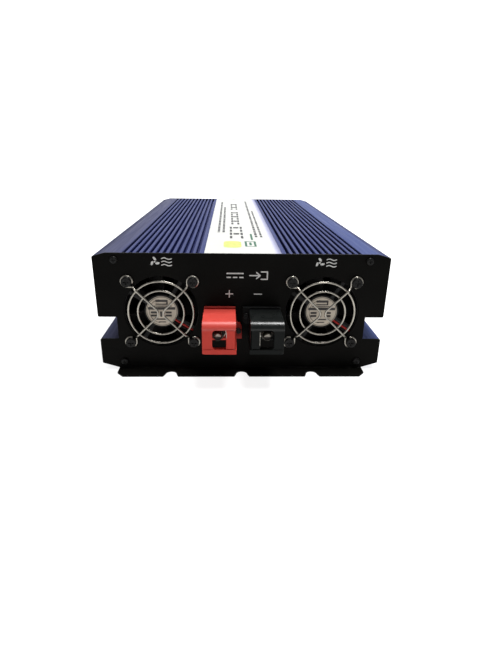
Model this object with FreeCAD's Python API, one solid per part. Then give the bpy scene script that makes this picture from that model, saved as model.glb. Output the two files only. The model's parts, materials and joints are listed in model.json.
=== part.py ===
"""Power inverter: two aluminium extrusions closed by folded steel end panels.

Millimetres. +X is to the right of someone facing the battery end, +Y runs to the
mains end, +Z is up. The origin is the middle of the base of the overall box.
"""
import FreeCAD, Part
import math
import os

V = FreeCAD.Vector
X_AXIS = V(1, 0, 0)
Y_AXIS = V(0, 1, 0)
Z_AXIS = V(0, 0, 1)

# Housing
body_length = 396.0
body_width = 226.0
body_height = 96.4
wall = 2.5
roof = 6.0
sheet = 1.5
shell_lift = 0.1
roof_chamfer_width = 10.0
roof_chamfer_drop = 2.75
base_chamfer_width = 13.0
base_chamfer_rise = 4.0
waist_top = 45.5
waist_bottom = 26.8
waist_depth = 14.7
edge_radius = 1.2
lap_thickness = 1.4
lap_gap = 0.1
rib_pitch = 5.02
rib_groove = 2.4
rib_depth = 3.5
rib_edge = 0.4
grooves_each_side = 12
first_groove = 34.2
label_left = -29.1
label_right = 24.5
label_recess = 29.7
recess_depth = 0.3
label_thickness = 0.2

# End panel flanges
flange_reach = 14.0
flange_half_width = 99.7
flange_corner_x = 5.0
flange_corner_y = 5.8
bend_radius = 1.0
fold_top = 3.0
slot_width = 8.6
slot_mouth = 11.8
slot_inner = 5.5
slot_spacing = 56.6

# Panel screws
upper_screw_inset_x = 16.4
upper_screw_inset_z = 5.2
lower_screw_inset_x = 18.2
lower_screw_z = 7.25
boss_radius = 3.5
pilot_radius = 1.25
screw_shank_radius = 1.2
screw_length = 10.0
screw_head_radius = 2.8
screw_head_height = 1.8
screw_hole_radius = 1.7
head_edge = 0.45
cross_width = 0.24
cross_reach = 0.55
cross_depth = 0.5

# Fans and guards
fan_size = 60.0
fan_depth = 25.0
fan_side_gap = 2.6
fan_rise = 2.4
fan_hole_spacing = 50.0
fan_bore_radius = 28.6
fan_corner_radius = 4.5
fan_flange = 4.0
shroud_radius = 29.9
panel_fan_hole = 29.0
hub_radius = 13.6
cup_radius = 13.4
cup_inner_radius = 11.6
shaft_radius = 1.5
shaft_clearance = 0.04
sleeve_radius = 3.2
stator_radius = 10.8
blade_tip_radius = 27.8
blade_count = 7
blade_thickness = 1.3
label_radius = 12.3
label_front = 0.65
strut_front = 0.8
strut_back = 3.3
strut_width = 3.2
strut_count = 3
sleeve_back = 17.0
stator_front = 5.2
stator_back = 14.0
stator_slot_root = 5.0
stator_slot_width = 2.6
stator_slots = 4
rotor_gap = 0.8
rotor_back = 22.0
rotor_edge = 1.5
rotor_floor = 1.8
blade_front = 1.0
blade_back = 23.4
blade_middle = 13.8
blade_root = (52, 14.5)
blade_tip = (34, 17.5)
shaft_back = 21.0
fan_screw_hole = 2.2
fan_screw_shank = 2.0
fan_screw_head = 4.1
fan_screw_head_height = 2.2
nut_flats = 7.0
nut_height = 3.2
lead_radius = 0.8
lead_pitch = 1.9
lead_angle = -33.0
lead_run_x = 28.6
lead_depth = 2.5
lead_slack = 0.4
lead_bend = 1.4
lead_drop_bend = 3.0
channel_start = 12.4
channel_half = 2.1
channel_wall = 1.1
channel_floor = 3.4
channel_front = 1.2
notch_half = 2.6
notch_wall = 2.2
plug_length = 5.6
plug_height = 5.0
plug_width = 5.2
guard_wire = 0.8
guard_outer_ring = 25.3
guard_inner_ring = 17.9
guard_loop_radius = 4.2
guard_loop_offset = 0.85
guard_ring_offset = 1.75
guard_arm_offset = 3.25
guard_loop_turn = 285.0
guard_bends = (0, 1.4, 1.2, 5.0, 1.2, 1.4, 0)

# Battery terminals
terminal_x = 17.6
cover_width = 24.5
cover_bottom = 29.3
cover_height = 24.2
cover_reach = 34.2
cover_wall = 1.8
cover_edge_radius = 5.4
cover_rim_step = 0.5
cover_rim_radii = (0.8, 1.5)
cover_rim_drop = 0.2
base_thickness = 3.5
base_lip = 1.5
base_boss = 4.5
base_drop = 0.6
base_corner = 0.8
boss_clearance = 0.3
ear_width = 5.2
ear_height = 13.7
ear_radius = 4.0
ear_screw_inset = 2.5
stud_x = 18.7
stud_z = 37.7
stud_radius = 3.0
stud_reach = 22.0
stud_relief_radius = 2.6
stud_relief = 0.8
stud_relief_gap = 0.2
stud_chamfer = 0.6
stud_nut_flats = 10.0
stud_nut_height = 5.0
washer_radius = 6.2
washer_thickness = 1.2
washer_slack = 0.2
running_gap = 0.05
bush_radius = 6.0
bush_reach = 5.5
stud_head_height = 4.0
small_screw_head = 2.3
small_screw_head_height = 1.5
ear_screw_length = 9.0
window_outer = 22.5
window_inner = 5.45
window_bottom = 33.0
window_top = 48.0
window_radius = 2.8
flap_edge = 12.4
flap_thickness = 1.5
flap_gap = 0.3
flap_pin_x = 6.6
flap_pin_radius = 0.5
flap_pin_clearance = 0.06
flap_barrel = 0.85
flap_edge_radius = 0.3
pin_grip = 2.0
cable_exit_width = 14.0
cable_exit_depth = 17.0
cable_exit_inset = 7.0
bar_width = 16.0
bar_thickness = 2.0
bar_height = 46.0
bar_foot_end = 46.0
bar_bend = 2.0

# Circuit board and what stands on it
standoff_height = 7.9
board_thickness = 1.6
board_gap = 1.8
board_front = 32.0
board_back = 45.0
standoff_inset = 22.0
standoff_end = 5.5
standoff_radius = 3.0
board_screw_grip = 5.0
capacitor_radius = 8.0
capacitor_height = 30.0
capacitor_edge = 0.8
capacitor_bead = 1.2
capacitor_bead_rise = 3.5
capacitor_rows = (18.0, 38.0)
capacitor_columns = (36.0, 56.0, 76.0)
fuse_count = 6
fuse_pitch = 10.0
fuse_row = 20.0
fuse_base = (5.2, 20.0, 9.0)
fuse_cap = (3.8, 18.0, 8.0)
core_size = (48.0, 20.0, 44.0)
core_window = (9.0, 30.0)
core_leg = 14.0
winding_size = (31.0, 36.0, 29.0)
winding_corner = 4.0
winding_slack = 0.2
transformer_x = 38.0
transformer_start = 52.0
transformer_end = 150.0
transistor_size = (4.6, 10.4, 15.5)
transistors_each_side = 8
transistor_bottom = 28.5
transistor_start = 48.0
transistor_end = 95.0
leg_pitch = 2.54
leg_thickness = 0.6
leg_width = 0.8
leg_offset = 0.4
clamp_overhang = 10.0
clamp_thickness = 3.0
clamp_height = 6.0
reservoir_radius = 15.0
reservoir_height = 45.0
reservoir_columns = (-66.0, -33.0, 0.0)
reservoir_end = 135.0
toroid_outer = 25.0
toroid_inner = 12.0
toroid_height = 22.0
toroid_edge = 4.0
toroid_x = -45.0
toroid_end = 90.0
film_size = (26.0, 12.0, 22.0)
film_x = 7.0
film_ends = (98.0, 82.0, 66.0)
card_x = 45.0
card_thickness = 1.6
card_height = 46.0
card_ends = (140.0, 62.0)
chip_size = (2.4, 9.0, 9.0)
chip_places = ((126.0, 14.0), (104.0, 14.0), (82.0, 20.0), (112.0, 32.0))

# Mains end
outlet_offsets = (-48.0, 12.0)
outlet_rise = 8.0
outlet_flange = 52.0
outlet_flange_thickness = 3.0
outlet_body_radius = 21.4
outlet_body_depth = 28.0
recess_radius = 19.5
recess_length = 17.5
pin_hole_radius = 2.5
pin_hole_depth = 9.0
pin_spacing = 19.0
contact_wall = 0.7
outlet_screw_offset = 21.5
outlet_screw_length = 8.0
outlet_corner = 6.0
outlet_edge = 0.8
outlet_slack = 0.3
contact_inset = 1.5
contact_tail = 4.0
outlet_lead_radius = 1.5
outlet_lead_run = (12.0, 17.0)
outlet_lead_drop = 22.0
outlet_lead_bends = (0, 6.0, 12.0, 0)
switch_x = 66.0
switch_z = 60.0
switch_bezel = (19.0, 25.0)
switch_cut = (13.4, 20.0)
switch_depth = 16.0
rocker_radius = 9.0
rocker_width = 12.4
rocker_gap = 0.3
rocker_tilt = 8.0
rocker_pivot_depth = 1.5
rocker_depth = 6.5
rocker_valley = 0.6
rocker_horn = 3.2
switch_corner = 2.0
trunnion_reach = 0.8
trunnion_radius = 1.2
bezel_thickness = 2.0
light_spacing = 14.0
light_z = 84.0
light_radius = 2.5
light_reach = 2.0
light_depth = 4.0
light_edge = 1.6
light_collar = 0.8
light_collar_depth = 1.0
ground_x = 82.0
ground_z = 16.0
ground_radius = 2.5
ground_reach = 12.5
ground_nut_height = 4.0
ground_nut_flats = 8.0
ground_head_height = 3.0
ground_relief_radius = 2.1
ground_chamfer = 0.5
vent_count = 12
vent_size = (3.0, 9.0)
vent_pitch = 9.0
vent_first_x = -72.0
vent_z = 12.0

# Modelling allowances: how far a cutter runs past a face, and the match of two places
past = 1.0
tiny = 1e-6
square_corners = ((-1, -1), (1, -1), (1, 1), (-1, 1))

# Places worked out from the sizes above
rear_reach = flange_reach
front_y = (cover_reach - rear_reach - body_length) / 2
rear_y = front_y + body_length
half_width = body_width / 2
floor_z = sheet + shell_lift
waist_x = half_width - waist_depth
waist_inner = waist_x - wall
floor_top = floor_z + wall
ceiling_z = body_height - roof
shell_front = front_y + sheet
shell_back = rear_y - sheet
fan_x = waist_inner - fan_side_gap - fan_size / 2
fan_z = (floor_top + ceiling_z) / 2 + fan_rise
upper_screw_x = half_width - upper_screw_inset_x
upper_screw_z = body_height - upper_screw_inset_z
lower_screw_x = half_width - lower_screw_inset_x
board_bottom = floor_top + standoff_height
board_top = board_bottom + board_thickness
board_half = waist_inner - board_gap
board_start = front_y + board_front
board_end = rear_y - board_back
cover_top = cover_bottom + cover_height
terminal_mid_z = cover_bottom + cover_height / 2
outlet_z = (floor_z + body_height) / 2 + outlet_rise
base_front = front_y - base_thickness
cover_face = front_y - cover_reach + cover_rim_step
bar_front = shell_front + bush_reach

parts = {}


def box(x0, x1, y0, y1, z0, z1):
    return Part.makeBox(x1 - x0, y1 - y0, z1 - z0, V(x0, y0, z0))


def rod_y(x, z, radius, y0, y1):
    return Part.makeCylinder(radius, y1 - y0, V(x, y0, z), Y_AXIS)


def rod_z(x, y, radius, z0, z1):
    return Part.makeCylinder(radius, z1 - z0, V(x, y, z0), Z_AXIS)


def rod_x(x0, x1, y, z, radius):
    return Part.makeCylinder(radius, x1 - x0, V(x0, y, z), X_AXIS)


def fuse(shapes):
    whole = shapes[0]
    if len(shapes) > 1:
        whole = whole.fuse(list(shapes[1:]))
    return whole.removeSplitter()


def group(shapes):
    return Part.makeCompound(list(shapes))


def corner_arc(before, corner, after, radius):
    """Start, middle and end of the arc that rounds one corner."""
    back = (before - corner).normalize()
    ahead = (after - corner).normalize()
    half_angle = back.getAngle(ahead) / 2
    reach = radius / math.tan(half_angle)
    middle_line = (back + ahead).normalize()
    centre = corner + middle_line * (radius / math.sin(half_angle))
    return corner + back * reach, centre - middle_line * radius, corner + ahead * reach


def rounded_edges(points, radii, closed=False):
    """Straight runs joined by tangent arcs, with one radius for each point."""
    count = len(points)
    corners = []
    for i, point in enumerate(points):
        if radii[i] and (closed or 0 < i < count - 1):
            corners.append(corner_arc(points[i - 1], point, points[(i + 1) % count], radii[i]))
        else:
            corners.append((point, None, point))
    edges = []
    for i, (start, middle, end) in enumerate(corners):
        if middle is not None:
            edges.append(Part.Arc(start, middle, end).toShape())
        if closed or i < count - 1:
            following = corners[(i + 1) % count][0]
            if end.distanceToPoint(following) > tiny:
                edges.append(Part.makeLine(end, following))
    return edges


def prism(points, radii, direction):
    face = Part.Face(Part.Wire(rounded_edges(points, radii, closed=True)))
    return face.extrude(direction)


def prism_y(outline, y0, y1):
    """Extrude an outline of (x, z, corner radius) along Y."""
    points = [V(x, y0, z) for x, z, _ in outline]
    return prism(points, [radius for _, _, radius in outline], V(0, y1 - y0, 0))


def prism_x(outline, x0, x1):
    """Extrude an outline of (y, z, corner radius) along X."""
    points = [V(x0, y, z) for y, z, _ in outline]
    return prism(points, [radius for _, _, radius in outline], V(x1 - x0, 0, 0))


def prism_z(outline, z0, z1):
    """Extrude an outline of (x, y, corner radius) along Z."""
    points = [V(x, y, z0) for x, y, _ in outline]
    return prism(points, [radius for _, _, radius in outline], V(0, 0, z1 - z0))


def both_sides(right_half):
    return right_half + [(-x, z, radius) for x, z, radius in reversed(right_half)]


def wire_along(points, radii, radius):
    """Round wire swept along straight runs and arcs."""
    return sweep(rounded_edges(points, radii), radius)


def sweep(edges, radius):
    path = Part.Wire(edges)
    first = path.OrderedEdges[0]
    start = first.valueAt(first.FirstParameter)
    heading = first.tangentAt(first.FirstParameter)
    if start.distanceToPoint(path.OrderedVertexes[0].Point) > tiny:
        start = first.valueAt(first.LastParameter)
        heading = first.tangentAt(first.LastParameter) * -1
    profile = Part.Wire(Part.makeCircle(radius, start, heading))
    return path.makePipeShell([profile], True, False)


def hexagon(flats, height, hole_radius, centre, y0):
    """Nut or bolt head whose axis runs along Y."""
    reach = flats / math.sqrt(3)
    outline = []
    for i in range(6):
        angle = math.radians(60 * i)
        outline.append((centre[0] + reach * math.cos(angle), centre[1] + reach * math.sin(angle), 0))
    solid = prism_y(outline, y0, y0 + height)
    if hole_radius:
        solid = solid.cut(rod_y(centre[0], centre[1], hole_radius, y0 - past, y0 + height + past))
    return solid


def pan_screw(x, z, face_y, head, height, shank, length):
    """Cross-head screw driven along +Y, its head seated on face_y."""
    solid = fuse([rod_y(x, z, head, face_y - height, face_y), rod_y(x, z, shank, face_y, face_y + length)])
    top = face_y - height
    rim = [edge for edge in solid.Edges if abs(edge.BoundBox.YMax - top) < tiny]
    solid = solid.makeFillet(height * head_edge, rim)
    half, arm = head * cross_width / 2, head * cross_reach
    floor = top + height * cross_depth
    recess = fuse([
        box(x - arm, x + arm, top - past, floor, z - half, z + half),
        box(x - half, x + half, top - past, floor, z - arm, z + arm),
    ])
    return solid.cut(recess)


def small_screw(x, z, face_y, length):
    return pan_screw(x, z, face_y, small_screw_head, small_screw_head_height, screw_shank_radius, length)


def at_rear(shape):
    """Turn a front-facing piece at the front panel to face out of the rear panel."""
    return shape.mirror(V(0, (front_y + rear_y) / 2, 0), Y_AXIS)


def housing_outline(bottom):
    """Right half of the end view, from the base to the roof."""
    return [
        (half_width - base_chamfer_width, bottom, 0),
        (half_width, bottom + base_chamfer_rise, edge_radius),
        (half_width, waist_bottom, edge_radius),
        (waist_x, waist_bottom, 0),
        (waist_x, waist_top, 0),
        (half_width, waist_top, edge_radius),
        (half_width, body_height - roof_chamfer_drop, edge_radius),
        (half_width - roof_chamfer_width, body_height, edge_radius * 2),
    ]


def make_bottom_shell():
    slope = base_chamfer_rise / base_chamfer_width
    shift = wall * math.sqrt(1 + slope * slope)
    chamfer_x = half_width - base_chamfer_width
    inner_x = half_width - wall
    inner_low = floor_z + shift + slope * (inner_x - chamfer_x)
    floor_edge = chamfer_x + (wall - shift) / slope
    lap_top = waist_top + wall
    right = housing_outline(floor_z)[:5] + [
        (waist_inner + lap_thickness, waist_top, 0),
        (waist_inner + lap_thickness, lap_top, 0),
        (waist_inner, lap_top, 0),
        (waist_inner, waist_bottom - wall, 0),
        (inner_x, waist_bottom - wall, 0),
        (inner_x, inner_low, 0),
        (floor_edge, floor_top, 0),
    ]
    shell = prism_y(both_sides(right), shell_front, shell_back)
    for side in (-1, 1):
        shell = shell.fuse(rod_y(side * lower_screw_x, lower_screw_z, boss_radius, shell_front, shell_back))
        pilot = rod_y(side * lower_screw_x, lower_screw_z, pilot_radius, shell_front - past, shell_back + past)
        shell = shell.cut(pilot)
    parts["bottom_shell"] = shell.removeSplitter()


def rib_outline():
    """Grooves across the right half of the roof, from the outer edge inwards."""
    outline = []
    for i in reversed(range(grooves_each_side)):
        centre = first_groove + rib_pitch * i
        outline += [
            (centre + rib_groove / 2 + rib_edge, body_height, 0),
            (centre + rib_groove / 2, body_height - rib_edge, 0),
            (centre + rib_groove / 2, body_height - rib_depth, 0),
            (centre - rib_groove / 2, body_height - rib_depth, 0),
            (centre - rib_groove / 2, body_height - rib_edge, 0),
            (centre - rib_groove / 2 - rib_edge, body_height, 0),
        ]
    outline += [
        (label_recess, body_height, 0),
        (label_recess, body_height - recess_depth, 0),
    ]
    return outline


def make_top_shell():
    lap_x = waist_inner + lap_thickness + lap_gap
    inner_x = half_width - wall
    outer = [(lap_x, waist_top, 0)] + housing_outline(floor_z)[5:] + rib_outline()
    inner = [
        (-lap_x, waist_top + wall, 0),
        (-inner_x, waist_top + wall, 0),
        (-inner_x, ceiling_z, 0),
        (inner_x, ceiling_z, 0),
        (inner_x, waist_top + wall, 0),
        (lap_x, waist_top + wall, 0),
    ]
    shell = prism_y(both_sides(outer) + inner, shell_front, shell_back)
    for side in (-1, 1):
        shell = shell.fuse(rod_y(side * upper_screw_x, upper_screw_z, boss_radius, shell_front, shell_back))
        pilot = rod_y(side * upper_screw_x, upper_screw_z, pilot_radius, shell_front - past, shell_back + past)
        shell = shell.cut(pilot)
    parts["top_shell"] = shell.removeSplitter()


def make_top_label():
    low = body_height - recess_depth
    parts["top_label"] = box(label_left, label_right, shell_front, shell_back, low, low + label_thickness)


def flange_slots():
    """Open slots in the flange, cut from its front edge."""
    tools = []
    centre_y = front_y - slot_inner - slot_width / 2
    edge_y = front_y - flange_reach
    for i in (-1, 0, 1):
        x = i * slot_spacing
        flare = (slot_mouth - slot_width) / 2
        run = centre_y - edge_y
        outline = [
            (x - slot_width / 2, centre_y, 0),
            (x + slot_width / 2, centre_y, 0),
            (x + slot_mouth / 2 + flare / run, edge_y - past, 0),
            (x - slot_mouth / 2 - flare / run, edge_y - past, 0),
        ]
        tools.append(prism_z(outline, -past, sheet + past))
        tools.append(rod_z(x, centre_y, slot_width / 2, -past, sheet + past))
    return tools


def end_panel_blank():
    """Steel sheet in the shape of the housing's end, folded outwards at its foot."""
    plate = prism_y(both_sides(housing_outline(floor_z)), front_y, front_y + sheet)
    foot = box(-flange_half_width, flange_half_width, front_y - past, shell_front + past, 0, fold_top)
    plate = plate.cut(foot)
    fold = [
        (front_y + sheet, fold_top, 0),
        (front_y + sheet, 0, bend_radius + sheet),
        (front_y - flange_reach, 0, 0),
        (front_y - flange_reach, sheet, 0),
        (front_y, sheet, bend_radius),
        (front_y, fold_top, 0),
    ]
    panel = plate.fuse(prism_x(fold, -flange_half_width, flange_half_width))
    edge_y = front_y - flange_reach
    for side in (-1, 1):
        corner = [
            (side * (flange_half_width + past), edge_y + flange_corner_y + past, 0),
            (side * (flange_half_width + past), edge_y - past, 0),
            (side * (flange_half_width - flange_corner_x - past), edge_y - past, 0),
        ]
        panel = panel.cut(prism_z(corner, -past, sheet + past / 2))
    holes = flange_slots()
    for x, z in panel_screw_places():
        holes.append(through_panel(x, z, screw_hole_radius))
    return panel.cut(holes).removeSplitter()


def panel_screw_places():
    places = []
    for side in (-1, 1):
        places.append((side * upper_screw_x, upper_screw_z))
        places.append((side * lower_screw_x, lower_screw_z))
    return places


def through_panel(x, z, radius):
    return rod_y(x, z, radius, front_y - past, shell_front + past)


def fan_corners(centre_x):
    half = fan_hole_spacing / 2
    return [(centre_x + i * half, fan_z + k * half) for i in (-1, 1) for k in (-1, 1)]


def ear_screw_place(sign):
    """Screw in the middle of a terminal base's ear: the positive ear is low, the negative one high."""
    x = sign * (terminal_x - cover_width / 2 - ear_screw_inset)
    if sign > 0:
        return x, cover_top + base_lip - ear_height / 2
    return x, cover_bottom - base_drop + ear_height / 2


def make_front_panel():
    holes = []
    for side in (-1, 1):
        holes.append(through_panel(side * fan_x, fan_z, panel_fan_hole))
        holes += [through_panel(x, z, fan_screw_hole) for x, z in fan_corners(side * fan_x)]
        holes.append(through_panel(side * stud_x, stud_z, bush_radius + boss_clearance))
        x, z = ear_screw_place(side)
        holes.append(through_panel(x, z, screw_hole_radius))
    parts["front_panel"] = end_panel_blank().cut(holes)


def make_rear_panel():
    width, height = switch_cut
    half_w, half_h = (width + wall) / 2 + outlet_slack, (height + wall) / 2 + outlet_slack
    holes = []
    for x in outlet_offsets:
        holes.append(through_panel(x, outlet_z, outlet_body_radius + outlet_slack))
        for i in (-1, 1):
            screw_x = x + i * outlet_screw_offset
            holes.append(through_panel(screw_x, outlet_z + i * outlet_screw_offset, screw_hole_radius))
    low, high = front_y - past, shell_front + past
    holes.append(box(switch_x - half_w, switch_x + half_w, low, high, switch_z - half_h, switch_z + half_h))
    for i in (-1, 1):
        holes.append(through_panel(switch_x + i * light_spacing / 2, light_z, light_radius + lap_gap))
    holes.append(through_panel(ground_x, ground_z, ground_radius + 2 * lap_gap))
    for i in range(vent_count):
        x = vent_first_x + i * vent_pitch
        holes.append(box(x, x + vent_size[0], low, high, vent_z, vent_z + vent_size[1]))
    parts["rear_panel"] = at_rear(end_panel_blank().cut(holes))


def make_panel_screws():
    screws = []
    for x, z in panel_screw_places():
        screw = pan_screw(x, z, front_y, screw_head_radius, screw_head_height, screw_shank_radius, screw_length)
        screws += [screw, at_rear(screw)]
    parts["panel_screws"] = group(screws)


def lead_point(radius, offset):
    """A point beside the line on which a fan's leads leave its hub."""
    angle = math.radians(lead_angle)
    along = V(math.cos(angle), 0, math.sin(angle))
    across = V(-math.sin(angle), 0, math.cos(angle))
    return along * radius + across * offset


def fan_channel(y0, y1, half, r0, r1):
    """Bar or cutter along the lead line of a fan centred on the origin."""
    bar = box(r0, r1, y0, y1, -half, half)
    bar.rotate(V(0, 0, 0), Y_AXIS, -lead_angle)
    return bar


def fan_frame():
    half = fan_size / 2
    corner = fan_corner_radius
    square = [(half, -half, corner), (half, half, corner), (-half, half, corner), (-half, -half, corner)]
    body = fuse([
        prism_y(square, 0, fan_flange),
        prism_y(square, fan_depth - fan_flange, fan_depth),
        rod_y(0, 0, shroud_radius, 0, fan_depth),
    ])
    body = body.cut(rod_y(0, 0, fan_bore_radius, -1, fan_depth + 1))
    reach = fan_bore_radius + shaft_clearance * 10
    struts = [rod_y(0, 0, hub_radius, strut_front, strut_back)]
    for i in range(strut_count):
        strut = box(hub_radius - 2, reach, strut_front, strut_back, -strut_width / 2, strut_width / 2)
        strut.rotate(V(0, 0, 0), Y_AXIS, -lead_angle + 90 * (i + 1))
        struts.append(strut)
    rim_half = channel_half + channel_wall
    struts.append(fan_channel(channel_front, fan_flange + 0.2, rim_half, hub_radius - 2, reach))
    struts.append(rod_y(0, 0, sleeve_radius, strut_front, sleeve_back))
    body = fuse([body] + struts)
    lead_z = lead_run_x * math.tan(math.radians(lead_angle))
    lead_turn = lead_run_x / math.cos(math.radians(lead_angle))
    notch_x = lead_run_x - notch_wall
    cutters = [
        fan_channel(-past, channel_floor, channel_half, channel_start, lead_turn),
        box(notch_x, fan_size / 2 + past, -past, fan_depth + past, lead_z - notch_half, lead_z + notch_half),
        rod_y(0, 0, shaft_radius + shaft_clearance, strut_back - sheet / 2, fan_depth),
    ]
    cutters += [rod_y(x, z, fan_screw_hole, -past, fan_depth + past) for x, z in corner_offsets()]
    return body.cut(cutters)


def corner_offsets():
    half = fan_hole_spacing / 2
    return [(i * half, k * half) for i in (-1, 1) for k in (-1, 1)]


def fan_stator():
    low, high = stator_front - past, stator_back + past
    stack = rod_y(0, 0, stator_radius, stator_front, stator_back)
    stack = stack.cut(rod_y(0, 0, sleeve_radius + running_gap, low, high))
    half = stator_slot_width / 2
    slots = []
    for i in range(stator_slots):
        slot = box(stator_slot_root, stator_radius + past, low, high, -half, half)
        slot.rotate(V(0, 0, 0), Y_AXIS, 45 + 360 / stator_slots * i)
        slots.append(slot)
    return stack.cut(slots)


def fan_blade():
    """One blade, twisted from a steep root to a flatter tip."""
    sections = []
    for radius, (pitch, chord) in ((cup_radius - past, blade_root), (blade_tip_radius + past, blade_tip)):
        angle = math.radians(pitch)
        along = V(0, math.sin(angle), math.cos(angle)) * (chord / 2)
        across = V(0, math.cos(angle), -math.sin(angle)) * (blade_thickness / 2)
        centre = V(radius, blade_middle, 0)
        corners = [centre - along - across, centre + along - across, centre + along + across]
        corners.append(centre - along + across)
        sections.append(Part.makePolygon(corners + corners[:1]))
    return Part.makeLoft(sections, True, True)


def fan_rotor():
    cup = rod_y(0, 0, cup_radius, fan_flange + rotor_gap, rotor_back)
    rim = [edge for edge in cup.Edges if edge.BoundBox.YMin > rotor_back - tiny]
    cup = cup.makeFillet(rotor_edge, rim)
    cup = cup.cut(rod_y(0, 0, cup_inner_radius, 0, rotor_back - rotor_floor))
    blades = []
    for i in range(blade_count):
        blade = fan_blade()
        blade.rotate(V(0, 0, 0), Y_AXIS, 360.0 / blade_count * i)
        blades.append(blade)
    swept = rod_y(0, 0, blade_tip_radius, fan_flange + blade_front, blade_back)
    swept = swept.cut(rod_y(0, 0, cup_radius - past / 2, 0, fan_depth))
    shaft = rod_y(0, 0, shaft_radius, fan_flange + running_gap * 4, shaft_back)
    return fuse([cup, shaft] + [blade.common(swept) for blade in blades])


def loop_edges(corner, start_angle, turn):
    """Screw loop in the panel plane, as one arc of wire from its tangent point."""
    points = []
    for share in (0.0, 0.5, 1.0):
        angle = math.radians(start_angle + turn * share)
        x = corner[0] + guard_loop_radius * math.cos(angle)
        points.append(V(x, -guard_loop_offset, corner[1] + guard_loop_radius * math.sin(angle)))
    return Part.Arc(*points).toShape(), points[0]


def guard_arm(upper_loop, lower_loop, side):
    """Wire from one screw loop past the middle of the guard to the loop below it."""
    half = fan_hole_spacing / 2
    first, start = loop_edges((side * half, half), *upper_loop)
    last, finish = loop_edges((side * half, -half), *lower_loop)
    knee = half - guard_loop_radius
    bridge = (guard_outer_ring + 1.5 * guard_wire) / math.sqrt(2)
    low, high = -guard_loop_offset, -guard_arm_offset
    points = [
        start,
        V(side * knee, low, knee),
        V(side * bridge, high, bridge),
        V(0, high, 0),
        V(side * bridge, high, -bridge),
        V(side * knee, low, -knee),
        finish,
    ]
    edges = rounded_edges(points, guard_bends)
    return sweep([first] + edges + [last], guard_wire)


def fan_guard():
    turn = guard_loop_turn
    rings = []
    for radius in (guard_outer_ring, guard_inner_ring):
        rings.append(Part.makeTorus(radius, guard_wire, V(0, -guard_ring_offset, 0), Y_AXIS))
    left = guard_arm((-90, -turn), (0, -turn), -1)
    right = guard_arm((180, -turn), (180, turn), 1)
    return fuse(rings + [left, right])


def fan_leads():
    """Two leads from the hub, back through notches in the frame and down to the board."""
    leads = []
    plug_top = board_top + plug_height - fan_z
    far = board_start - shell_front + plug_length / 2
    for i in (-0.5, 0.5):
        out = lead_run_x * math.tan(math.radians(lead_angle)) + i * (lead_pitch + lead_slack)
        start = lead_point(channel_start + lap_gap, i * lead_pitch) + V(0, lead_depth, 0)
        points = [
            start,
            V(lead_run_x, lead_depth, out),
            V(lead_run_x, far + i * lead_pitch, out),
            V(lead_run_x, far + i * lead_pitch, plug_top),
        ]
        leads.append(wire_along(points, [0, lead_bend, lead_drop_bend, 0], lead_radius))
    return group(leads)


def make_fans():
    screws, nuts, plugs = [], [], []
    for side, sign in (("left", -1), ("right", 1)):
        place = V(sign * fan_x, shell_front, fan_z)
        face = V(sign * fan_x, front_y, fan_z)
        parts["fan_%s_frame" % side] = fan_frame().translated(place)
        parts["fan_%s_stator" % side] = fan_stator().translated(place)
        parts["fan_%s_rotor" % side] = fan_rotor().translated(place)
        parts["fan_%s_label" % side] = rod_y(0, 0, label_radius, label_front, strut_front).translated(place)
        parts["fan_%s_guard" % side] = fan_guard().translated(face)
        parts["fan_%s_leads" % side] = fan_leads().translated(place)
        seat = front_y - guard_loop_offset - guard_wire
        back = shell_front + fan_depth
        length = back + nut_height + past - seat
        for x, z in fan_corners(sign * fan_x):
            screws.append(pan_screw(x, z, seat, fan_screw_head, fan_screw_head_height, fan_screw_shank, length))
            nuts.append(hexagon(nut_flats, nut_height, fan_screw_shank + running_gap, (x, z), back))
        plug_x = sign * fan_x + lead_run_x
        left, right = plug_x - plug_width / 2, plug_x + plug_width / 2
        end = board_start + plug_length
        plugs.append(box(left, right, board_start, end, board_top, board_top + plug_height))
    parts["fan_screws"] = group(screws)
    parts["fan_nuts"] = group(nuts)
    parts["fan_plugs"] = group(plugs)


def mirrored(shape, sign):
    """Pieces are drawn for the negative terminal, on the right; the positive is its mirror."""
    if sign > 0:
        return shape
    return shape.mirror(V(0, 0, 0), X_AXIS)


def terminal_base(sign):
    left = terminal_x - cover_width / 2
    right = terminal_x + cover_width / 2
    top = cover_top + base_lip
    bottom = cover_bottom - base_drop
    inner = left - ear_width
    root = left + ear_radius
    plate = [
        (left, bottom, 0),
        (right, bottom, base_corner),
        (right, top, base_corner),
        (left, top, 0),
    ]
    if sign > 0:
        low = top - ear_height
        ear = [(root, low, 0), (root, top, 0), (inner, top, 0), (inner, low, ear_radius)]
    else:
        high = bottom + ear_height
        ear = [(root, bottom, 0), (root, high, 0), (inner, high, ear_radius), (inner, bottom, 0)]
    half_w = cover_width / 2 - cover_wall - boss_clearance
    half_h = cover_height / 2 - cover_wall - boss_clearance
    boss = box(terminal_x - half_w, terminal_x + half_w, base_front - base_boss, base_front,
               terminal_mid_z - half_h, terminal_mid_z + half_h)
    bush = rod_y(stud_x, stud_z, bush_radius, base_front, bar_front)
    solid = fuse([prism_y(plate, base_front, front_y), prism_y(ear, base_front, front_y), boss, bush])
    x, z = ear_screw_place(sign)
    cutters = [
        rod_y(stud_x, stud_z, stud_radius + running_gap, base_front - base_boss - past, bar_front + past),
        rod_y(abs(x), z, screw_hole_radius, base_front - past, front_y + past),
    ]
    return mirrored(solid.cut(cutters), sign)


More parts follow.
